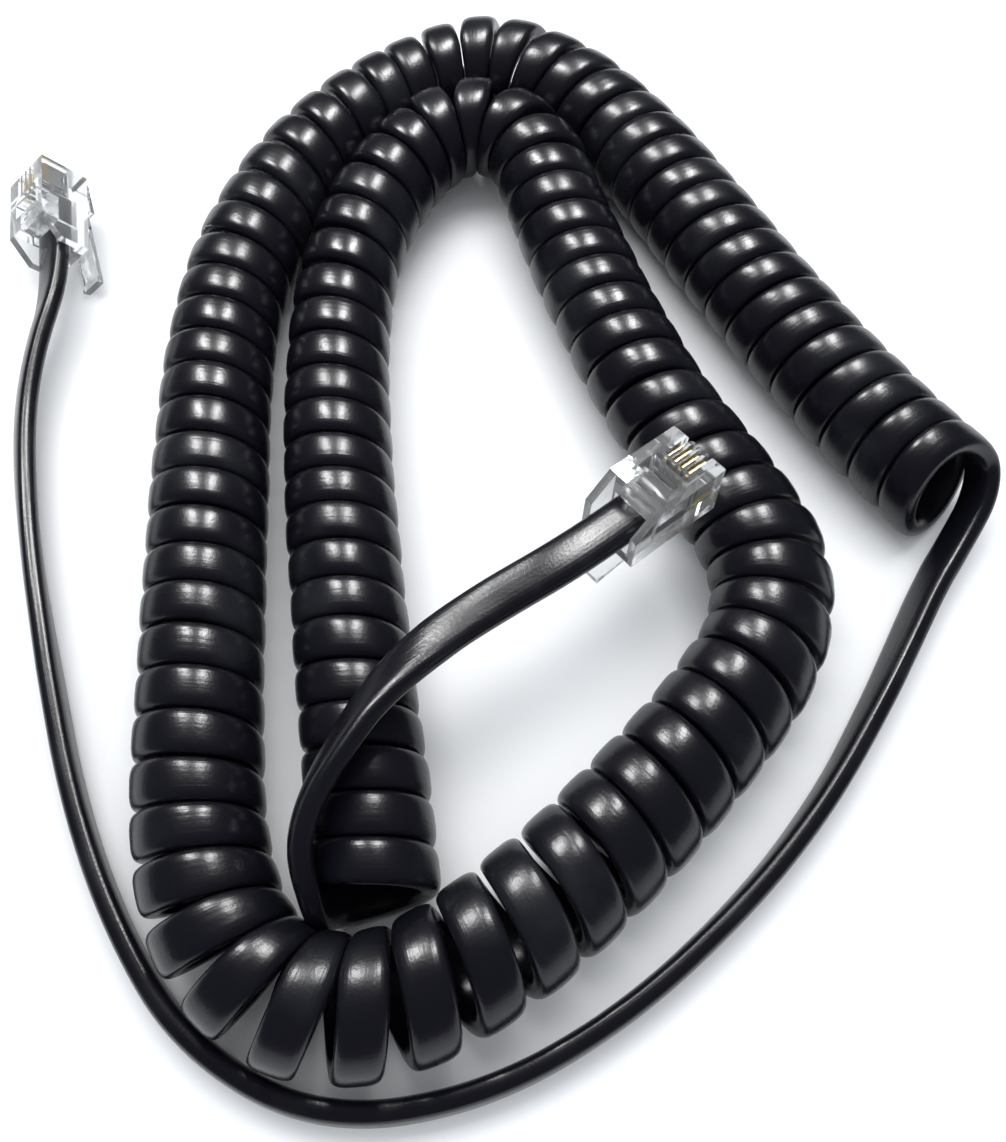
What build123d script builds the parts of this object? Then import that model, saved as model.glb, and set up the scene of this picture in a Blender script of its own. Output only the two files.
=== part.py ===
from build123d import *
import os
from math import cos, pi, radians, sin, sqrt, tan

# A curly telephone handset cord, lying on a flat surface in a doubled loop.
# A flat four-wire cord is wound into a springy coil, with an uncoiled lead at
# each end. Each lead ends in a clear four-way modular plug (4P4C).
# Millimetres, +Z up, origin on the surface at the middle of the whole outline.

os.makedirs("parts", exist_ok=True)

# ---- cord sizes ----
coil_diameter = 13.2      # outside of the turns
cord_width = 4.9          # flat cord, wide way
cord_thickness = 2.4      # flat cord, thin way
edge_share = 0.92         # part of the width x thickness box that the rounded cord fills
run_share = 0.45          # how much of the shorter run each bend uses

coil_radius = coil_diameter / 2
lead_diameter = sqrt(4 * edge_share * cord_width * cord_thickness / pi)

# ---- plug sizes ----
plug_length = 12.8
plug_width = 7.65
plug_height = 6.6
top_length = 9.7          # closed top, measured back from the nose
wing_thickness = 0.95     # side walls behind the closed top
wing_rear_height = 3.9
nose_edge = 0.35          # broken edges round the nose
floor_wall = 1.3          # wall under the cord
cord_clearance = 0.1      # round the cord in its passage

# ---- jacket and wires inside the plug ----
jacket_inside = 7.7       # from the rear of the plug to the stripped end
wire_diameter = 0.9
wire_clearance = 0.03
wire_end = 11.9
core_count = 4
core_pitch = 1.02
cord_edge_radius = 0.9

# ---- clamp bars pressed down through the top of the plug ----
jacket_bar_start = 5.6
jacket_bar_length = 1.5
jacket_bar_width = 4.7
jacket_bar_height = 1.7
wire_bar_start = 8.1
wire_bar_length = 0.6
wire_bar_width = 4.5
wire_bar_height = 1.6
bar_bevel = 0.25
window_length = 2.1       # opening over the jacket bar
recess_start = 3.9
recess_length = 0.8
recess_width = 2.4
recess_depth = 0.8

# ---- contacts ----
blade_start = 9.3
blade_length = 3.1
blade_thickness = 0.36
blade_drop = 0.55         # top of the blades below the top of the plug
blade_bite = 0.15         # how far the tangs reach past the middle of the wire
blade_corner = 0.45
tang_gap_length = 0.9
tang_gap_height = 0.8
slot_width = 0.6
slot_lead = 0.15          # slot starts this far behind the blade

# ---- latch under the plug ----
latch_angle = 11.0        # open angle between the latch and the plug, degrees
latch_length = 14.6       # pivot to tip
latch_thickness = 0.8
latch_tip_thickness = 0.6
lever_width = 3.2
shoulder_width = 5.6
shoulder_length = 4.2
knuckle_radius = 0.45
knuckle_clearance = 0.1
thumb_ridge = 0.4
pivot_x = plug_length - nose_edge - knuckle_radius
pivot_z = -knuckle_clearance - knuckle_radius

# ---- where things lie ----
# Axis of the coil on the surface, from the end with the long lead.
coil_route = [
    (56.2, -5.4), (51.1, 1.1), (43.8, 12.4), (35.0, 27.8), (26.5, 44.0),
    (21.1, 53.8), (13.3, 63.0), (3.3, 67.0), (-6.1, 64.2), (-14.5, 58.2),
    (-21.4, 49.8), (-26.3, 39.2), (-29.3, 27.2), (-30.3, 13.1), (-29.5, -2.4),
    (-28.3, -17.4), (-27.0, -32.4), (-25.5, -45.9), (-22.1, -56.0), (-15.5, -61.6),
    (-6.9, -62.4), (1.9, -58.8), (11.1, -51.4), (19.9, -42.2), (28.1, -32.6),
    (33.8, -24.0), (35.1, -14.6), (31.5, -6.0), (25.0, 4.8), (19.5, 17.8),
    (15.1, 30.6), (12.3, 39.6), (10.1, 47.6), (4.9, 51.5), (-1.4, 50.5),
    (-8.5, 42.2), (-12.7, 33.0), (-14.7, 22.2), (-15.3, 9.6), (-14.5, -4.4),
    (-12.9, -17.9), (-11.1, -31.4), (-9.3, -42.4), (-8.3, -51.4),
]
# Long lead, from the coil's first turn round the outside to plug a.
lead_a_route = [
    (59.2, -2.9, 8.2), (60.2, -6.2, 5.2), (57.0, -11.4, 3.0), (52.6, -18.8, 2.45),
    (47.3, -27.8, 2.45), (39.3, -40.4, 2.45), (29.3, -51.8, 2.45), (16.5, -62.6, 2.45),
    (2.5, -69.8, 2.45), (-12.5, -71.6, 2.45), (-25.5, -65.2, 2.45), (-33.7, -54.6, 2.45),
    (-40.3, -41.4, 2.45), (-45.5, -26.2, 2.45), (-50.5, -9.4, 2.45), (-53.1, 5.6, 2.7),
]
# Short lead, from the coil's last turn up over the coil to plug b.
lead_b_route = [
    (-13.4, -50.6, 9.6), (-13.4, -46.2, 14.2), (-10.6, -40.2, 15.2), (-5.4, -33.0, 15.6),
    (2.6, -25.8, 16.4),
]
# Each plug: middle of the rear of its underside, heading, nose tilt and roll.
plug_places = {
    "a": ((-52.4, 31.5, 3.92), 100.0, 2.0, 40.0),
    "b": ((15.8, -16.5, 14.1), 40.0, -6.0, 3.0),
}

straight_entry = 5.5      # straight stretch of lead behind each plug

wire_z = floor_wall + cord_clearance + cord_thickness / 2
passage_height = cord_thickness + 2 * cord_clearance
passage_width = cord_width + 2 * cord_clearance
wire_offsets = [(i - (core_count - 1) / 2) * core_pitch for i in range(core_count)]
top_rear = plug_length - top_length


def plug_planes(place):
    """Deck, side and cross planes of a plug: along and across, along and up, across and up."""
    corner, heading, tilt, roll = place
    deck = Plane(Location(corner, (0, 0, heading)) * Rotation(0, -tilt, 0) * Rotation(-roll, 0, 0))
    side = Plane(deck.origin, x_dir=deck.x_dir, z_dir=-deck.y_dir)
    cross = Plane(deck.origin, x_dir=deck.y_dir, z_dir=deck.x_dir)
    return deck, side, cross


def bend_radii(points):
    """Largest arc for each corner that leaves its two runs room for their other bends."""
    corners = [Vector(*p) for p in points]
    radii = []
    for before, corner, after in zip(corners, corners[1:], corners[2:]):
        run_in, run_out = corner - before, after - corner
        half_turn = radians(run_in.get_angle(run_out)) / 2
        radii.append(run_share * min(run_in.length, run_out.length) / tan(half_turn))
    return radii


def write(name, solid):
    solid.part.label = name
    export_step(solid.part, f"parts/{name}.step")


def tube(name, points, diameter):
    """One round tube along straight runs and tangent arcs."""
    radii = bend_radii(points)
    with BuildPart() as body:
        with BuildLine() as path:
            FilletPolyline(*points, radius=radii)
        wire = path.wire()
        with BuildSketch(Plane(wire @ 0, z_dir=wire % 0)):
            Circle(diameter / 2)
        sweep(path=wire)
    expected = pi * diameter**2 / 4 * wire.length
    ratio = body.part.volume / expected
    print(f"{name}: {wire.length:.1f} long, tightest bend {min(radii):.1f}, volume ratio {ratio:.4f}")
    write(name, body)


def housing(name, deck, side):
    """Clear body with the cord passage, wire channels, bar windows and contact slots."""
    with BuildPart(deck) as body:
        with BuildSketch(side):
            with BuildLine():
                Polyline(
                    (0, 0), (plug_length, 0), (plug_length, plug_height),
                    (top_rear, plug_height), (0, wing_rear_height), close=True,
                )
            make_face()
        extrude(amount=plug_width / 2, both=True)
        nose = body.faces().sort_by(Axis(deck.origin, deck.x_dir))[-1]
        chamfer(nose.edges(), nose_edge)
        # cord passage, open at the rear and, between the wings, at the top
        with Locations((0, 0, floor_wall)):
            Box(
                jacket_inside, passage_width, passage_height,
                align=(Align.MIN, Align.CENTER, Align.MIN), mode=Mode.SUBTRACT,
            )
            Box(
                top_rear, plug_width - 2 * wing_thickness, plug_height,
                align=(Align.MIN, Align.CENTER, Align.MIN), mode=Mode.SUBTRACT,
            )
        # windows that the clamp bars are pressed down through
        with Locations((jacket_bar_start, 0, wire_z)):
            Box(
                window_length, jacket_bar_width, plug_height,
                align=(Align.MIN, Align.CENTER, Align.MIN), mode=Mode.SUBTRACT,
            )
        with Locations((wire_bar_start, 0, wire_z)):
            Box(
                wire_bar_length, wire_bar_width, plug_height,
                align=(Align.MIN, Align.CENTER, Align.MIN), mode=Mode.SUBTRACT,
            )
        with Locations((recess_start, 0, plug_height)):
            Box(
                recess_length, recess_width, 2 * recess_depth,
                align=(Align.MIN, Align.CENTER, Align.CENTER), mode=Mode.SUBTRACT,
            )
        # a channel for each wire and a slot above it for its contact
        channel_length = wire_end + wire_clearance - jacket_inside
        slot_start = blade_start - slot_lead
        for offset in wire_offsets:
            with Locations(Location((jacket_inside, offset, wire_z), (0, 90, 0))):
                Cylinder(
                    wire_diameter / 2 + wire_clearance, channel_length,
                    align=(Align.CENTER, Align.CENTER, Align.MIN), mode=Mode.SUBTRACT,
                )
            with Locations((slot_start, offset, wire_z - blade_bite - wire_clearance)):
                Box(
                    plug_length - slot_start, slot_width, plug_height,
                    align=(Align.MIN, Align.CENTER, Align.MIN), mode=Mode.SUBTRACT,
                )
    write(name, body)


def latch(name, deck, side):
    """Springy arm with a knuckle at the nose, locking shoulders and a thumb lever."""
    drop = radians(latch_angle)
    arm = Plane(
        deck.from_local_coords(Vector(pivot_x, 0, pivot_z)),
        x_dir=-deck.x_dir * cos(drop) - deck.z_dir * sin(drop),
        z_dir=deck.y_dir,
    )
    with BuildPart() as body:
        with BuildSketch(arm):
            Circle(knuckle_radius)
            with BuildLine():
                Polyline(
                    (0, -latch_thickness / 2), (shoulder_length, -latch_thickness / 2),
                    (shoulder_length, latch_thickness / 2), (0, latch_thickness / 2), close=True,
                )
            make_face()
        extrude(amount=shoulder_width / 2, both=True)
        with BuildSketch(arm):
            with BuildLine():
                Polyline(
                    (0, -latch_thickness / 2), (latch_length, -latch_tip_thickness / 2),
                    (latch_length, latch_tip_thickness / 2 + thumb_ridge),
                    (latch_length - thumb_ridge, latch_tip_thickness / 2 + thumb_ridge),
                    (latch_length - 3 * thumb_ridge, latch_tip_thickness / 2),
                    (0, latch_thickness / 2), close=True,
                )
            make_face()
        extrude(amount=lever_width / 2, both=True)
    write(name, body)


def jacket_end(name, cross):
    """End of the flat jacket, from the rear of the plug to where it is stripped."""
    with BuildPart() as body:
        with BuildSketch(cross):
            with Locations((0, wire_z)):
                RectangleRounded(cord_width, cord_thickness, cord_edge_radius)
        extrude(amount=jacket_inside)
    write(name, body)


def bar(name, deck, start, length, width, bottom, height):
    """Clamp bar, bevelled along its top, filling its window from side to side."""
    with BuildPart(deck) as body:
        with Locations((start, 0, bottom)):
            Box(length, width, height, align=(Align.MIN, Align.CENTER, Align.MIN))
        top = body.faces().sort_by(Axis(deck.origin, deck.z_dir))[-1]
        long_edges = top.edges().sort_by(SortBy.LENGTH)[-2:]
        chamfer(long_edges, bar_bevel)
    write(name, body)


def blade_outline():
    """Corners of a contact blade seen from the side: a cut front corner and two tangs below."""
    low = wire_z - blade_bite
    high = plug_height - blade_drop
    notch_top = low + tang_gap_height
    notch_rear = blade_start + (blade_length - tang_gap_length) / 2
    notch_front = notch_rear + tang_gap_length
    front = blade_start + blade_length
    return [
        (blade_start, low), (notch_rear, low), (notch_rear, notch_top),
        (notch_front, notch_top), (notch_front, low), (front, low),
        (front, high - blade_corner), (front - blade_corner, high), (blade_start, high),
    ]


def contact(name, side, offset):
    with BuildPart() as body:
        with BuildSketch(side.offset(-offset)):
            with BuildLine():
                Polyline(*blade_outline(), close=True)
            make_face()
        extrude(amount=blade_thickness / 2, both=True)
    write(name, body)


def wire_end_piece(name, side, cross, offset):
    """Insulated wire from the stripped jacket to the end of its channel, cut by its blade."""
    with BuildPart() as body:
        with BuildSketch(cross.offset(jacket_inside)):
            with Locations((offset, wire_z)):
                Circle(wire_diameter / 2)
        extrude(amount=wire_end - jacket_inside)
        with BuildSketch(side.offset(-offset)):
            with BuildLine():
                Polyline(*blade_outline(), close=True)
            make_face()
        extrude(amount=blade_thickness / 2, both=True, mode=Mode.SUBTRACT)
    write(name, body)


def plug(letter):
    deck, side, cross = plug_planes(plug_places[letter])
    prefix = f"plug_{letter}"
    housing(f"{prefix}_housing", deck, side)
    latch(f"{prefix}_latch", deck, side)
    jacket_end(f"{prefix}_jacket_end", cross)
    bar(
        f"{prefix}_jacket_bar", deck, jacket_bar_start, jacket_bar_length,
        jacket_bar_width, wire_z + cord_thickness / 2, jacket_bar_height,
    )
    bar(
        f"{prefix}_wire_bar", deck, wire_bar_start, wire_bar_length,
        wire_bar_width, wire_z + wire_diameter / 2, wire_bar_height,
    )
    for number, offset in enumerate(wire_offsets, start=1):
        contact(f"{prefix}_contact_{number}", side, offset)
        wire_end_piece(f"{prefix}_wire_{number}", side, cross, offset)
    # the lead comes straight into the rear of the plug
    return [tuple(deck.from_local_coords(Vector(-back, 0, wire_z))) for back in (straight_entry, 0)]


entry_a = plug("a")
entry_b = plug("b")
tube("coil", [(x, y, coil_radius) for x, y in coil_route], coil_diameter)
tube("lead_a", lead_a_route + entry_a, lead_diameter)
tube("lead_b", lead_b_route + entry_b, lead_diameter)
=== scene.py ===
from math import pi, radians
import bpy
import numpy as np
from mathutils import Matrix, Vector


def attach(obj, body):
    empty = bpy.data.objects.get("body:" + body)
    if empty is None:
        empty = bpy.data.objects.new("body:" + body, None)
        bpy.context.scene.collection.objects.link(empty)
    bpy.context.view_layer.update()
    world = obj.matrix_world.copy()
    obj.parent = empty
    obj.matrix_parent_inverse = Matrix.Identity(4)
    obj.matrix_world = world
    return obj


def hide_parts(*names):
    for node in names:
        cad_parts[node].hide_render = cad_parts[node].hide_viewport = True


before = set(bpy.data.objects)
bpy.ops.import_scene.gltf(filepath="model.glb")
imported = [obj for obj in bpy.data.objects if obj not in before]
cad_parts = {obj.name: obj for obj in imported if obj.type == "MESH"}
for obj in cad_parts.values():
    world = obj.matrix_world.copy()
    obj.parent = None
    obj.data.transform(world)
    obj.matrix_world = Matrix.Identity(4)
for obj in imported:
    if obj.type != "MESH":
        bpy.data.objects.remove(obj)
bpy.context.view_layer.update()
mm = 0.001
print("frame loaded:", len(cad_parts), "nodes")

cameraSettings = {
    "place": (4.9 * mm, -75.262 * mm, 120.757 * mm),
    "tilt": 27.5,          # degrees from straight down
    "lens": 36.25,         # on a 36 mm sensor
    "nearest": 0.01,
    "furthest": 20.0,
}


def makeCamera(settings):
    camera = bpy.data.cameras.new("camera")
    camera.lens = settings["lens"]
    camera.sensor_width = 36
    camera.clip_start = settings["nearest"]
    camera.clip_end = settings["furthest"]
    holder = bpy.data.objects.new("camera", camera)
    holder.location = settings["place"]
    holder.rotation_euler = (radians(settings["tilt"]), 0, 0)
    bpy.context.collection.objects.link(holder)
    bpy.context.scene.camera = holder


makeCamera(cameraSettings)
print("camera placed")

# The route points are the control points of smooth lines, in millimetres here and metres in the curves.
coilSettings = {
    "route": [
        (56.2, -5.4, 7.0), (51.1, 1.1, 7.0), (43.8, 12.4, 7.0), (35.0, 27.8, 7.0), (26.5, 44.0, 7.0),
        (20.7, 53.5, 7.0), (12.9, 62.4, 6.9), (3.3, 67.2, 6.8), (-5.9, 63.6, 6.7), (-14.0, 57.4, 6.7),
        (-20.9, 49.3, 6.7), (-26.0, 39.1, 6.7), (-29.3, 27.2, 6.7), (-30.2, 13.1, 6.7), (-29.3, -2.4, 6.7),
        (-28.2, -17.4, 6.8), (-27.0, -32.4, 6.8), (-25.6, -45.9, 6.8), (-22.1, -56.0, 6.8),
        (-15.5, -61.6, 6.9), (-6.7, -62.1, 6.9), (1.6, -58.0, 7.0), (10.9, -50.9, 7.0), (19.8, -42.0, 6.9),
        (28.1, -32.6, 6.9), (34.0, -24.0, 6.8), (35.0, -14.6, 6.8), (30.8, -6.0, 6.7), (24.4, 4.6, 6.7),
        (19.0, 17.6, 6.6), (14.5, 30.4, 6.9), (11.8, 38.6, 7.5), (9.8, 46.2, 8.0), (6.6, 50.6, 8.2),
        (2.0, 52.9, 8.2), (-3.0, 51.6, 8.1), (-7.4, 46.9, 7.9),
        (-11.2, 40.6, 7.5), (-14.0, 33.0, 7.0), (-15.6, 22.4, 6.6), (-15.4, 9.6, 6.6), (-14.2, -4.4, 6.6),
        (-12.4, -17.9, 6.6), (-10.5, -31.4, 6.6), (-8.6, -42.4, 6.6), (-7.4, -52.0, 6.6),
    ],
    # millimetres along the route, then the outside diameter of the turns
    "diameters": [(0, 14.0), (60, 14.0), (100, 13.3), (150, 13.3), (220, 13.5), (260, 13.9), (330, 13.3),
                  (380, 12.8), (430, 12.7), (500, 12.9)],
    # millimetres along the route, then the distance from turn to turn
    "pitches": [(0, 4.7), (20, 4.58), (60, 4.62), (72, 5.6), (90, 5.2), (105, 5.0), (118, 5.5), (136, 5.35),
                (155, 4.95), (190, 4.75), (222, 4.75), (232, 5.55), (262, 5.75), (276, 5.1), (300, 4.95),
                (322, 4.9), (336, 5.2), (350, 4.65), (372, 4.9), (384, 5.9), (396, 4.8), (408, 5.2),
                (421, 5.7), (434, 5.0), (446, 4.7), (480, 4.55), (500, 4.6)],
    # millimetres along the route, then how far the turns lean, in degrees
    "leans": [(0, -24), (6, -18), (16, -7), (30, 0), (465, 0), (500, -9)],
    "firstAngle": 20.0,    # degrees round the coil from its outer side, where the long lead leaves
    "lastAngle": -12.0,    # where the short lead leaves
    "stepsPerTurn": 44,
    "lineStep": 0.5,
    "headingSpread": 13,   # steps each way that the coil's direction is smoothed over
    "packing": 0.975,      # share of the distance between turns that the cord fills
    "widest": 0.97,        # share of the cord's own width that a turn can show
    # small waves along the turns: share of the diameter, radians per turn, radians at the start
    "sizeWaves": [(0.006, 0.71, 1.0), (0.005, 1.93, 2.0)],
    # the same for the lean: degrees, radians per turn
    "leanWaves": [(1.1, 0.83), (0.8, 2.3)],
}
leadASettings = {
    "route": [
        (60.8, -5.4, 4.8), (58.0, -9.8, 3.3), (54.0, -15.6, 2.8), (49.7, -23.1, 2.8),
        (45.6, -30.2, 2.7), (38.6, -41.0, 2.55), (29.3, -51.6, 2.55), (16.5, -62.4, 2.55),
        (2.5, -69.6, 2.55), (-12.5, -71.4, 2.55), (-25.3, -64.9, 2.55), (-33.5, -54.2, 2.55),
        (-40.1, -41.2, 2.55), (-45.4, -26.2, 2.55), (-50.9, -9.4, 2.6), (-54.3, 5.6, 3.0), (-54.5, 16.0, 4.4),
    ],
    # share of the way from the coil to the plug, then how far the flat cord is turned, in degrees
    "turns": [(0, 30), (0.08, 58), (0.2, 77), (0.3, 86), (0.4, 90), (0.74, 94), (0.86, 114), (1, 132)],
    "settle": 16.0,        # millimetres from the coil before the cord takes these turns
}
leadBSettings = {
    "route": [
        (-13.9, -51.2, 10.9), (-14.3, -48.2, 13.4), (-13.3, -44.4, 14.9), (-11.0, -40.0, 15.6),
        (-7.6, -34.2, 16.0), (-2.2, -28.7, 16.2), (3.7, -24.4, 16.3),
    ],
    "turns": [(0, -90), (0.2, -73), (0.42, -48), (0.6, -14), (0.75, -2), (1, 0)],
    "settle": 6.0,
}
cordSettings = {
    "width": 4.9,
    "thickness": 2.4,
    "roundness": 3.2,      # 2 is an ellipse, more is squarer
    "sectionPoints": 24,
    "leadStep": 0.45,
    "leave": 2.2,          # how far each lead first runs on straight out of the coil
    "approach": 5.5,       # straight stretch behind each plug
    "inside": 7.7,         # how far the jacket reaches into the plug
    "height": 2.6,         # middle of the cord above the underside of the plug
    "insidePoints": 12,
    "plugBlend": 9.0,      # the cord turns into line with its plug over this length
    "widthSpread": 12,     # steps each way that the width is smoothed over where the leads join the coil
    "widthReach": 40,      # steps into the coil that this smoothing is used for
    "grainLength": 20.0,   # length of cord for one unit of the finish's map
}
# middle of the rear of each plug's underside, its heading, nose tilt and roll
plugPlaces = {
    "a": ((-52.4, 31.5, 3.92), 100.0, 2.0, 40.0),
    "b": ((15.8, -16.5, 14.1), 40.0, -6.0, 3.0),
}


def plugFrame(letter):
    corner, heading, tilt, roll = plugPlaces[letter]
    turn = (Matrix.Rotation(radians(heading), 4, "Z") @ Matrix.Rotation(radians(-tilt), 4, "Y")
            @ Matrix.Rotation(radians(-roll), 4, "X"))
    return Matrix.Translation(Vector(corner) * mm) @ turn


# points along the smooth line that has these control points
def readLine(name, points):
    curve = bpy.data.curves.new(name, "CURVE")
    curve.dimensions = "3D"
    line = curve.splines.new("NURBS")
    line.points.add(len(points) - 1)
    for knot, place in zip(line.points, points):
        knot.co = (*place, 1)
    line.order_u = 3
    line.use_endpoint_u = True
    line.resolution_u = 24
    holder = bpy.data.objects.new(name, curve)
    mesh = bpy.data.meshes.new_from_object(holder)
    found = np.array([v.co[:] for v in mesh.vertices])
    bpy.data.objects.remove(holder)
    bpy.data.curves.remove(curve)
    bpy.data.meshes.remove(mesh)
    return found


def lengthsAlong(line):
    steps = np.linalg.norm(np.diff(line, axis=0), axis=1)
    return np.concatenate([[0], np.cumsum(steps)])


def evenly(line, step):
    along = lengthsAlong(line)
    count = max(2, int(round(along[-1] / step)) + 1)
    marks = np.linspace(0, along[-1], count)
    return np.stack([np.interp(marks, along, line[:, k]) for k in range(3)], axis=1)


def unit(vectors):
    return vectors / np.maximum(np.linalg.norm(vectors, axis=-1, keepdims=True), 1e-12)


def profile(pairs, marks):
    table = np.array(pairs, float)
    return np.interp(marks, table[:, 0], table[:, 1])


# centreline of the wound cord, the coil's direction at each point, and the distance from turn to turn
def windCoil(settings):
    axis = evenly(readLine("coilAxis", np.array(settings["route"]) * mm), settings["lineStep"] * mm)
    along = lengthsAlong(axis) / mm
    heading = unit(np.gradient(axis, axis=0))
    spread = settings["headingSpread"]
    padded = np.pad(heading, ((spread, spread), (0, 0)), mode="edge")
    heading = unit(np.stack([padded[k:k + len(heading)] for k in range(2 * spread + 1)]).sum(axis=0))
    side = unit(np.cross(heading, [0, 0, 1]))
    up = np.cross(side, heading)
    # turns made by each point along the axis
    pitch = profile(settings["pitches"], along)
    turns = np.concatenate([[0], np.cumsum(np.diff(along) / (0.5 * (pitch[1:] + pitch[:-1])))])
    first, last = settings["firstAngle"] / 360, settings["lastAngle"] / 360
    whole = round(turns[-1] + first - last) + last - first
    turns *= whole / turns[-1]
    count = int(round(whole * settings["stepsPerTurn"]))
    marks = np.linspace(0, whole, count + 1)
    s = np.interp(marks, turns, along)
    angle = 2 * pi * (marks + first)

    def sample(values):
        return np.stack([np.interp(s, along, values[:, k]) for k in range(3)], axis=1)

    centre, heading, side, up = sample(axis), unit(sample(heading)), unit(sample(side)), unit(sample(up))
    # no two turns are quite alike
    wobble = sum(size * np.sin(rate * marks + start) for size, rate, start in settings["sizeWaves"])
    radius = (profile(settings["diameters"], s) * (1 + wobble) - cordSettings["thickness"]) / 2 * mm
    sway = sum(size * np.sin(rate * marks) for size, rate in settings["leanWaves"])
    lean = np.tan(np.radians(profile(settings["leans"], s) + sway))
    out = np.cos(angle)[:, None] * side + np.sin(angle)[:, None] * up
    shift = -lean * radius * np.sin(angle)
    points = centre + radius[:, None] * out + shift[:, None] * heading
    step = settings["stepsPerTurn"]
    gap = np.linalg.norm(points[step:] - points[:-step], axis=1)
    ahead = np.concatenate([gap, np.full(step, np.nan)])
    behind = np.concatenate([np.full(step, np.nan), gap])
    spacing = np.fmin(ahead, behind)
    print(f"coil: {whole:.1f} turns along {along[-1]:.0f} mm")
    return points, heading, spacing


# the flat cord's wide direction along a lead: out of the coil without twist, then eased into its turns
def turnedLead(line, settings, coilDirection):
    forward = unit(np.gradient(line, axis=0))
    reach = lengthsAlong(line) / mm
    across = unit(np.cross(forward, [0, 0, 1]))
    above = unit(np.cross(across, forward))
    angle = np.radians(profile(settings["turns"], reach / reach[-1]))[:, None]
    wanted = np.cos(angle) * across - np.sin(angle) * above
    carried = np.zeros_like(line)
    carried[0] = coilDirection
    for i in range(len(line)):
        last = carried[max(i - 1, 0)]
        carried[i] = unit(last - forward[i] * np.dot(last, forward[i]))
    twist = np.arctan2(np.sum(np.cross(carried, wanted) * forward, axis=1), np.sum(carried * wanted, axis=1))
    first = int(np.argmax(reach >= settings["settle"]))
    twist = np.unwrap(twist[first:])
    twist -= pi * round(twist[0] / pi)
    ease = np.clip(reach[:first] / settings["settle"], 0, 1)
    twist = np.concatenate([twist[0] * ease * ease * (3 - 2 * ease), twist])[:, None]
    return np.cos(twist) * carried + np.sin(twist) * np.cross(forward, carried)


# flat cord as a closed mesh along a line, with its wide side along the given directions
def sweepCord(name, line, wide, widths, thicknesses):
    forward = unit(np.gradient(line, axis=0))
    wide = unit(wide - forward * np.sum(wide * forward, axis=1, keepdims=True))
    thick = np.cross(wide, forward)
    count = cordSettings["sectionPoints"]
    turn = np.linspace(0, 2 * pi, count, endpoint=False)
    power = 2 / cordSettings["roundness"]
    x = np.sign(np.cos(turn)) * np.abs(np.cos(turn)) ** power / 2
    y = np.sign(np.sin(turn)) * np.abs(np.sin(turn)) ** power / 2
    rings = (line[:, None, :] + wide[:, None, :] * (x[None, :] * widths[:, None])[:, :, None]
             + thick[:, None, :] * (y[None, :] * thicknesses[:, None])[:, :, None])
    verts = rings.reshape(-1, 3)
    faces = []
    for i in range(len(line) - 1):
        for k in range(count):
            n = (k + 1) % count
            faces.append((i * count + k, i * count + n, (i + 1) * count + n, (i + 1) * count + k))
    faces.append(tuple(range(count))[::-1])
    faces.append(tuple((len(line) - 1) * count + k for k in range(count)))
    mesh = bpy.data.meshes.new(name)
    mesh.from_pydata([tuple(v) for v in verts], [], faces)
    along = lengthsAlong(line)
    layer = mesh.uv_layers.new(name="along")
    loops = np.zeros(len(mesh.loops), dtype=np.int32)
    mesh.loops.foreach_get("vertex_index", loops)
    u = along[loops // count] / (cordSettings["grainLength"] * mm)
    v = (loops % count) / count
    layer.data.foreach_set("uv", np.stack([u, v], axis=1).ravel())
    mesh.shade_smooth()
    mesh.update()
    holder = bpy.data.objects.new(name, mesh)
    bpy.context.collection.objects.link(holder)
    return holder


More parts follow.
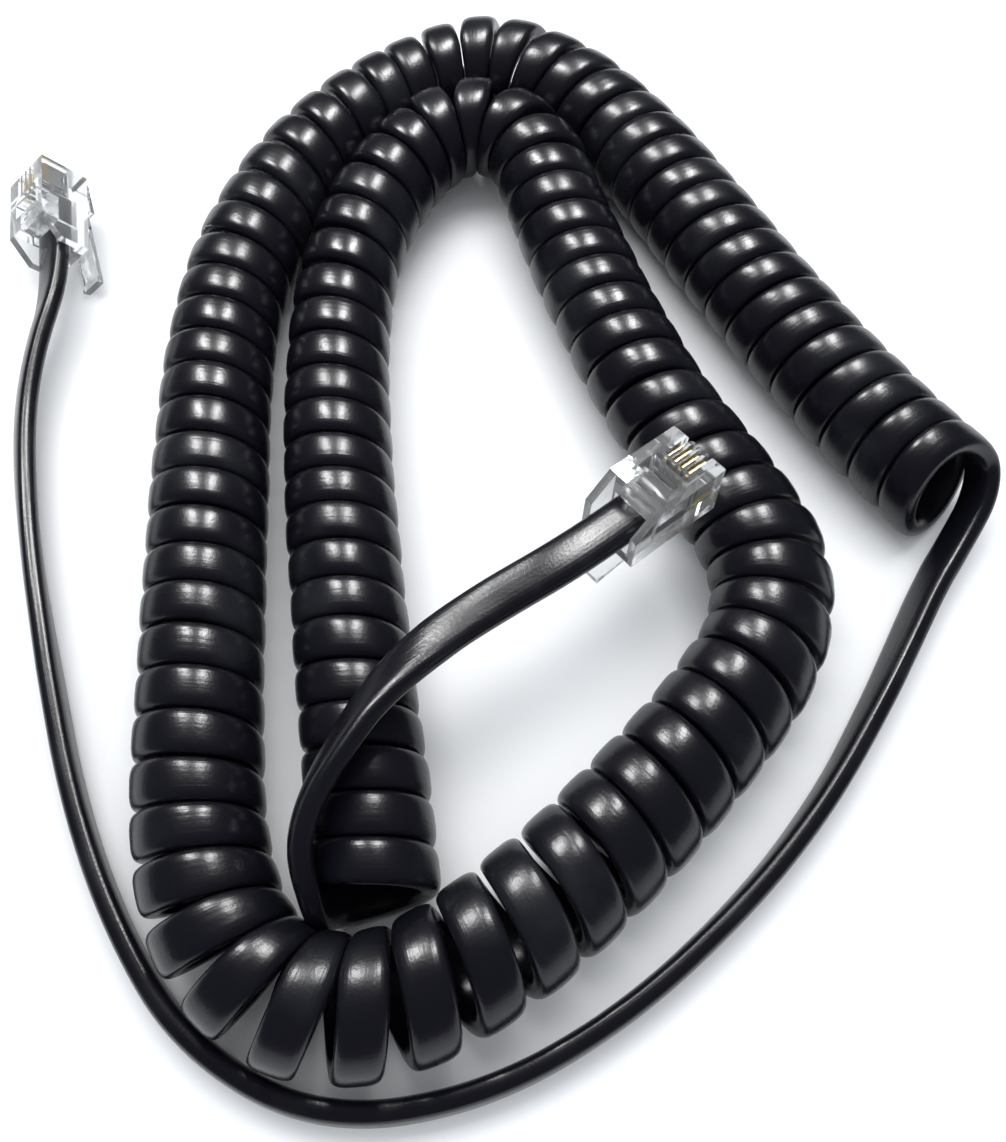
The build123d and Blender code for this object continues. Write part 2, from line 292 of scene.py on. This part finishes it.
# the whole cord in one piece: into plug a, along its lead, round the coil, along the short lead, into plug b
def buildCord():
    coilLine, coilHeading, spacing = windCoil(coilSettings)
    ends = {}
    for letter, settings, first, beyond in (
        ("a", leadASettings, coilLine[0], coilLine[0] - coilLine[1]),
        ("b", leadBSettings, coilLine[-1], coilLine[-1] - coilLine[-2]),
    ):
        place = plugFrame(letter)
        height = cordSettings["height"] * mm
        rear = [np.array(place @ Vector((x * mm, 0, height))) for x in (-cordSettings["approach"], 0)]
        leave = first + beyond / np.linalg.norm(beyond) * cordSettings["leave"] * mm
        controls = [first, leave] + [np.array(p) * mm for p in settings["route"]] + rear
        lead = evenly(readLine("lead", controls), cordSettings["leadStep"] * mm)
        inner = np.array(place @ Vector((cordSettings["inside"] * mm, 0, height)))
        straight = np.linspace(lead[-1], inner, cordSettings["insidePoints"])[1:]
        heading = coilHeading[0] if letter == "a" else coilHeading[-1]
        wide = turnedLead(lead, settings, heading)
        across = np.array(place.to_3x3() @ Vector((0, 1, 0)))
        if np.dot(across, wide[-1]) < 0:
            across = -across
        reach = lengthsAlong(lead)
        off = np.degrees(np.arccos(min(1, np.dot(across, unit(wide[-1])))))
        print(f"lead {letter}: {reach[-1] / mm:.1f} mm, {off:.1f} degrees off its plug")
        share = np.clip((reach[-1] - reach) / (cordSettings["plugBlend"] * mm), 0, 1)[:, None]
        wide = unit(share * wide + (1 - share) * across)
        line = np.concatenate([lead[1:], straight])
        wide = np.concatenate([wide[1:], np.repeat(across[None], len(straight), axis=0)])
        ends[letter] = (line, wide)
    lineA, wideA = ends["a"]
    lineB, wideB = ends["b"]
    line = np.concatenate([lineA[::-1], coilLine, lineB])
    wide = np.concatenate([wideA[::-1], coilHeading, wideB])
    full = cordSettings["width"] * mm
    packed = np.minimum(spacing * coilSettings["packing"], coilSettings["widest"] * full)
    widths = np.concatenate([np.full(len(lineA), full), packed, np.full(len(lineB), full)])
    # widths change gently where the leads join the coil
    spread = cordSettings["widthSpread"]
    padded = np.pad(widths, spread, mode="edge")
    smooth = np.stack([padded[k:k + len(widths)] for k in range(2 * spread + 1)]).mean(axis=0)
    middle = slice(len(lineA) + cordSettings["widthReach"], -len(lineB) - cordSettings["widthReach"])
    smooth[middle] = widths[middle]
    thicknesses = np.full(len(line), cordSettings["thickness"] * mm)
    cord = sweepCord("curlyCord", line, wide, smooth, thicknesses)
    return cord, line


cord, cordLine = buildCord()
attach(cord, "cord")
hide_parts("coil", "lead_a", "lead_b", "plug_a_jacket_end", "plug_b_jacket_end")


def newMaterial(name):
    material = bpy.data.materials.new(name)
    material.use_nodes = True
    tree = material.node_tree
    return material, tree, tree.nodes["Principled BSDF"]


def addNode(tree, kind, **values):
    node = tree.nodes.new(kind)
    for key, value in values.items():
        if hasattr(node, key):
            setattr(node, key, value)
        else:
            node.inputs[key.replace("_", " ")].default_value = value
    return node


def groupSocket(tree, name, inOut, kind="NodeSocketFloat", value=None):
    socket = tree.interface.new_socket(name=name, in_out=inOut, socket_type=kind)
    if value is not None:
        socket.default_value = value


grainSettings = {"scale": 900.0, "roughness": 0.3, "spread": 0.05, "broadScale": 140.0}


# fine moulded grain: a height for a bump and a small change in roughness
def makeGrainGroup(settings):
    tree = bpy.data.node_groups.new("mouldedGrain", "ShaderNodeTree")
    groupSocket(tree, "Scale", "INPUT", value=settings["scale"])
    groupSocket(tree, "Roughness", "INPUT", value=settings["roughness"])
    groupSocket(tree, "Spread", "INPUT", value=settings["spread"])
    groupSocket(tree, "Height", "OUTPUT")
    groupSocket(tree, "Roughness", "OUTPUT")
    given, out = tree.nodes.new("NodeGroupInput"), tree.nodes.new("NodeGroupOutput")
    place = addNode(tree, "ShaderNodeTexCoord")
    fine = addNode(tree, "ShaderNodeTexNoise", Detail=3.0)
    broad = addNode(tree, "ShaderNodeTexNoise", Detail=2.0, Scale=settings["broadScale"])
    for noise in (fine, broad):
        tree.links.new(place.outputs["Object"], noise.inputs["Vector"])
    tree.links.new(given.outputs["Scale"], fine.inputs["Scale"])
    tree.links.new(fine.outputs["Fac"], out.inputs["Height"])
    centred = addNode(tree, "ShaderNodeMath", operation="SUBTRACT")
    centred.inputs[1].default_value = 0.5
    tree.links.new(broad.outputs["Fac"], centred.inputs[0])
    scaled = addNode(tree, "ShaderNodeMath", operation="MULTIPLY_ADD")
    tree.links.new(centred.outputs[0], scaled.inputs[0])
    tree.links.new(given.outputs["Spread"], scaled.inputs[1])
    tree.links.new(given.outputs["Roughness"], scaled.inputs[2])
    tree.links.new(scaled.outputs[0], out.inputs["Roughness"])
    return tree


# a higher level leaves fewer scuffs, and softness is how gently their edges fade
scuffSettings = {"scale": 60.0, "cover": 0.3, "level": 0.75, "softness": 0.12}


# sparse scuffs and dust from handling, as a mask
def makeScuffGroup(settings):
    tree = bpy.data.node_groups.new("handlingScuffs", "ShaderNodeTree")
    groupSocket(tree, "Scale", "INPUT", value=settings["scale"])
    groupSocket(tree, "Cover", "INPUT", value=settings["cover"])
    groupSocket(tree, "Mask", "OUTPUT")
    given, out = tree.nodes.new("NodeGroupInput"), tree.nodes.new("NodeGroupOutput")
    place = addNode(tree, "ShaderNodeTexCoord")
    patches = addNode(tree, "ShaderNodeTexNoise", Detail=5.0)
    tree.links.new(place.outputs["Object"], patches.inputs["Vector"])
    tree.links.new(given.outputs["Scale"], patches.inputs["Scale"])
    level = addNode(tree, "ShaderNodeMath", operation="SUBTRACT")
    level.inputs[0].default_value = settings["level"]
    tree.links.new(given.outputs["Cover"], level.inputs[1])
    cut = addNode(tree, "ShaderNodeMapRange")
    top = addNode(tree, "ShaderNodeMath", operation="ADD")
    top.inputs[1].default_value = settings["softness"]
    tree.links.new(level.outputs[0], top.inputs[0])
    tree.links.new(patches.outputs["Fac"], cut.inputs["Value"])
    tree.links.new(level.outputs[0], cut.inputs["From Min"])
    tree.links.new(top.outputs[0], cut.inputs["From Max"])
    tree.links.new(cut.outputs["Result"], out.inputs["Mask"])
    return tree


grainGroup = makeGrainGroup(grainSettings)
scuffGroup = makeScuffGroup(scuffSettings)


def useGroup(tree, group, **values):
    node = tree.nodes.new("ShaderNodeGroup")
    node.node_tree = group
    for key, value in values.items():
        node.inputs[key].default_value = value
    return node


def addBump(tree, shader, height, bump):
    node = addNode(tree, "ShaderNodeBump", Strength=bump[0], Distance=bump[1])
    tree.links.new(height, node.inputs["Height"])
    tree.links.new(node.outputs["Normal"], shader.inputs["Normal"])


# the grain of one finish, and its colour with the scuffs in it
def addWear(tree, settings):
    grain = useGroup(tree, grainGroup, Scale=settings["grainScale"], Roughness=settings["roughness"],
                     Spread=settings["roughnessSpread"])
    scuffs = useGroup(tree, scuffGroup, Scale=settings["scuffScale"], Cover=settings["scuffCover"])
    tint = addNode(tree, "ShaderNodeMix", data_type="RGBA")
    tint.inputs["A"].default_value = settings["colour"]
    tint.inputs["B"].default_value = settings["scuffColour"]
    tree.links.new(scuffs.outputs["Mask"], tint.inputs["Factor"])
    return grain, tint


vinylSettings = {
    "colour": (0.0044, 0.0044, 0.0078, 1),
    "scuffColour": (0.010, 0.0105, 0.014, 1),
    "roughness": 0.27,
    "roughnessSpread": 0.16,
    "specular": 0.31,
    "grainScale": 2600.0,
    "scuffScale": 70.0,
    "scuffCover": 0.22,
    "lineStretch": (0.35, 46, 1),
    "lineShare": 1.4,            # of the lines in the bump, to 1 of the grain
    "bump": (0.4, 0.00004),      # strength, then depth in metres
}


def makeVinyl(settings):
    material, tree, shader = newMaterial("blackVinyl")
    grain, tint = addWear(tree, settings)
    tree.links.new(tint.outputs["Result"], shader.inputs["Base Color"])
    # faint lines along the cord, left by the extruder
    along = addNode(tree, "ShaderNodeUVMap", uv_map="along")
    stretch = addNode(tree, "ShaderNodeMapping")
    stretch.inputs["Scale"].default_value = settings["lineStretch"]
    streaks = addNode(tree, "ShaderNodeTexNoise", Detail=3.0, Scale=1.0)
    tree.links.new(along.outputs["UV"], stretch.inputs["Vector"])
    tree.links.new(stretch.outputs["Vector"], streaks.inputs["Vector"])
    both = addNode(tree, "ShaderNodeMath", operation="MULTIPLY_ADD")
    both.inputs[1].default_value = settings["lineShare"]
    tree.links.new(streaks.outputs["Fac"], both.inputs[0])
    tree.links.new(grain.outputs["Height"], both.inputs[2])
    addBump(tree, shader, both.outputs[0], settings["bump"])
    tree.links.new(grain.outputs["Roughness"], shader.inputs["Roughness"])
    shader.inputs["Specular IOR Level"].default_value = settings["specular"]
    return material


clearSettings = {
    "colour": (0.965, 0.975, 0.98, 1),
    "scuffColour": (0.9, 0.92, 0.93, 1),
    "roughness": 0.05,
    "roughnessSpread": 0.04,
    "index": 1.58,
    "clearness": 0.93,
    "grainScale": 700.0,
    "scuffScale": 260.0,
    "scuffCover": 0.2,
    "bump": (0.25, 0.00003),
}


def makeClearPlastic(settings):
    material, tree, shader = newMaterial("clearPlastic")
    grain, tint = addWear(tree, settings)
    tree.links.new(tint.outputs["Result"], shader.inputs["Base Color"])
    addBump(tree, shader, grain.outputs["Height"], settings["bump"])
    tree.links.new(grain.outputs["Roughness"], shader.inputs["Roughness"])
    shader.inputs["IOR"].default_value = settings["index"]
    shader.inputs["Transmission Weight"].default_value = settings["clearness"]
    return material


goldSettings = {
    "colour": (0.98, 0.76, 0.40, 1),
    "scuffColour": (0.86, 0.70, 0.46, 1),
    "nickel": (0.80, 0.79, 0.77, 1),
    "goldFrom": (4.6, 5.3),    # millimetres above the underside of the plug: bare nickel below, gold above
    "roughness": 0.24,
    "roughnessSpread": 0.12,
    "grainScale": 5200.0,
    "scuffScale": 900.0,
    "scuffCover": 0.25,
    "bump": (0.2, 0.00002),
}


def makeGold(settings):
    material, tree, shader = newMaterial("goldPlate")
    grain, tint = addWear(tree, settings)
    height = addNode(tree, "ShaderNodeUVMap", uv_map="bladeHeight")
    parts = addNode(tree, "ShaderNodeSeparateXYZ")
    tree.links.new(height.outputs["UV"], parts.inputs[0])
    plated = addNode(tree, "ShaderNodeMapRange")
    plated.inputs["From Min"].default_value, plated.inputs["From Max"].default_value = settings["goldFrom"]
    tree.links.new(parts.outputs["Y"], plated.inputs["Value"])
    metal = addNode(tree, "ShaderNodeMix", data_type="RGBA")
    metal.inputs["A"].default_value = settings["nickel"]
    tree.links.new(tint.outputs["Result"], metal.inputs["B"])
    tree.links.new(plated.outputs["Result"], metal.inputs["Factor"])
    tree.links.new(metal.outputs["Result"], shader.inputs["Base Color"])
    addBump(tree, shader, grain.outputs["Height"], settings["bump"])
    tree.links.new(grain.outputs["Roughness"], shader.inputs["Roughness"])
    shader.inputs["Metallic"].default_value = 1.0
    return material


wireColours = {
    "wire_black": (0.012, 0.012, 0.013, 1),
    "wire_red": (0.42, 0.016, 0.014, 1),
    "wire_green": (0.015, 0.20, 0.05, 1),
    "wire_yellow": (0.66, 0.46, 0.03, 1),
}
wireSettings = {
    "roughness": 0.42,
    "roughnessSpread": 0.1,
    "grainScale": 4200.0,
    "scuffScale": 700.0,
    "scuffCover": 0.2,
    "scuffMix": (0.6, 0.06),     # share of the wire's own colour, then what is added to it
    "bump": (0.3, 0.00002),
}


def makeWireSkin(name, colour, settings):
    material, tree, shader = newMaterial(name)
    share, added = settings["scuffMix"]
    worn = tuple(share * c + added for c in colour[:3]) + (1,)
    grain, tint = addWear(tree, {**settings, "colour": colour, "scuffColour": worn})
    tree.links.new(tint.outputs["Result"], shader.inputs["Base Color"])
    addBump(tree, shader, grain.outputs["Height"], settings["bump"])
    tree.links.new(grain.outputs["Roughness"], shader.inputs["Roughness"])
    return material


blackVinyl = makeVinyl(vinylSettings)
clearPlastic = makeClearPlastic(clearSettings)
goldPlate = makeGold(goldSettings)
wireSkins = {name: makeWireSkin(name + "_skin", colour, wireSettings) for name, colour in wireColours.items()}
cord.data.materials.append(blackVinyl)
print("finishes made")


shadingSettings = {"sharpFrom": 40}    # degrees between two faces


# a copy of a CAD piece, in the CAD's own shape, for its finish
def copyPiece(node, name):
    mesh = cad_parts[node].data.copy()
    mesh.name = name
    mesh.shade_smooth()
    mesh.set_sharp_from_angle(angle=radians(shadingSettings["sharpFrom"]))
    piece = bpy.data.objects.new(name, mesh)
    bpy.context.collection.objects.link(piece)
    return piece


def setMaterial(piece, material):
    piece.data.materials.clear()
    piece.data.materials.append(material)


# how high each point of a blade stands in its plug, for the plating
def markHeight(blade, letter):
    toPlug = plugFrame(letter).inverted()
    layer = blade.data.uv_layers.new(name="bladeHeight")
    for loop in blade.data.loops:
        place = toPlug @ blade.data.vertices[loop.vertex_index].co
        layer.data[loop.index].uv = (place.x / mm, place.z / mm)


# every piece of one plug, given its finish
def dressPlug(letter):
    made = []
    for part in ("housing", "latch", "jacket_bar", "wire_bar"):
        node = f"plug_{letter}_{part}"
        piece = copyPiece(node, f"plug{letter.upper()}_{part}")
        setMaterial(piece, clearPlastic)
        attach(piece, f"latch_{letter}" if part == "latch" else "cord")
        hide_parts(node)
        made.append(piece)
    skins = list(wireSkins.values())
    if letter == "b":
        skins.reverse()
    for number in range(1, 5):
        node = f"plug_{letter}_contact_{number}"
        blade = copyPiece(node, f"plug{letter.upper()}_contact{number}")
        setMaterial(blade, goldPlate)
        markHeight(blade, letter)
        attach(blade, "cord")
        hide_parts(node)
        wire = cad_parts[f"plug_{letter}_wire_{number}"]
        for materialSlot in wire.material_slots:
            materialSlot.material = skins[number - 1]
        made += [blade, wire]
    return made


plugPieces = {letter: dressPlug(letter) for letter in "ab"}
print("plugs dressed")


floorSettings = {"size": 1.6, "colour": (0.86, 0.865, 0.875, 1), "roughness": 0.7, "specular": 0.2}
lightSettings = {
    "strips": [(-0.138, 0.20, 0.30), (0.047, 0.20, 0.30)],
    "aim": (0.0, 0.0, 0.0),
    "stripSize": (0.05, 0.12),
    "stripPower": 1.5,
    "skyColour": (0.93, 0.96, 1.0, 1),
    "skyPower": 1.0,
    "skyShine": 0.09,      # the sky as the shiny pieces reflect it
    "backPlace": (-0.03, 0.16, 0.50),
    "backSize": (0.5, 0.25),
    "backPower": 2.2,
}


def makeFloor(settings):
    half = settings["size"] / 2
    mesh = bpy.data.meshes.new("floor")
    corners = [(-half, -half, 0), (half, -half, 0), (half, half, 0), (-half, half, 0)]
    mesh.from_pydata(corners, [], [(0, 1, 2, 3)])
    holder = bpy.data.objects.new("floor", mesh)
    bpy.context.collection.objects.link(holder)
    material, _, shader = newMaterial("paleFloor")
    shader.inputs["Base Color"].default_value = settings["colour"]
    shader.inputs["Roughness"].default_value = settings["roughness"]
    shader.inputs["Specular IOR Level"].default_value = settings["specular"]
    mesh.materials.append(material)


def addLight(name, place, size, power, mirrored):
    light = bpy.data.lights.new(name, "AREA")
    light.shape = "RECTANGLE"
    light.size, light.size_y = size
    light.energy = power
    holder = bpy.data.objects.new(name, light)
    holder.location = place
    holder.rotation_euler = (Vector(lightSettings["aim"]) - Vector(place)).to_track_quat("-Z", "Y").to_euler()
    # the strips only show as reflections, and the soft light only falls on surfaces
    holder.visible_glossy = mirrored
    holder.visible_diffuse = not mirrored
    bpy.context.collection.objects.link(holder)


# a pale sky that lights every surface fully and shows only dimly in reflections
def makeSky(settings):
    world = bpy.data.worlds.new("sky")
    world.use_nodes = True
    tree = world.node_tree
    shine = tree.nodes["Background"]
    shine.inputs["Color"].default_value = settings["skyColour"]
    shine.inputs["Strength"].default_value = settings["skyShine"]
    glow = addNode(tree, "ShaderNodeBackground", Strength=settings["skyPower"])
    glow.inputs["Color"].default_value = settings["skyColour"]
    rays = addNode(tree, "ShaderNodeLightPath")
    choose = addNode(tree, "ShaderNodeMixShader")
    tree.links.new(rays.outputs["Is Glossy Ray"], choose.inputs[0])
    tree.links.new(glow.outputs[0], choose.inputs[1])
    tree.links.new(shine.outputs[0], choose.inputs[2])
    tree.links.new(choose.outputs[0], tree.nodes["World Output"].inputs["Surface"])
    bpy.context.scene.world = world


makeFloor(floorSettings)
for number, place in enumerate(lightSettings["strips"]):
    addLight(f"strip{number}", place, lightSettings["stripSize"], lightSettings["stripPower"], mirrored=True)
addLight("backLight", lightSettings["backPlace"], lightSettings["backSize"], lightSettings["backPower"],
         mirrored=False)
makeSky(lightSettings)
bpy.context.scene.view_settings.view_transform = "Standard"
bpy.context.scene.view_settings.look = "None"
print("floor and lights placed")
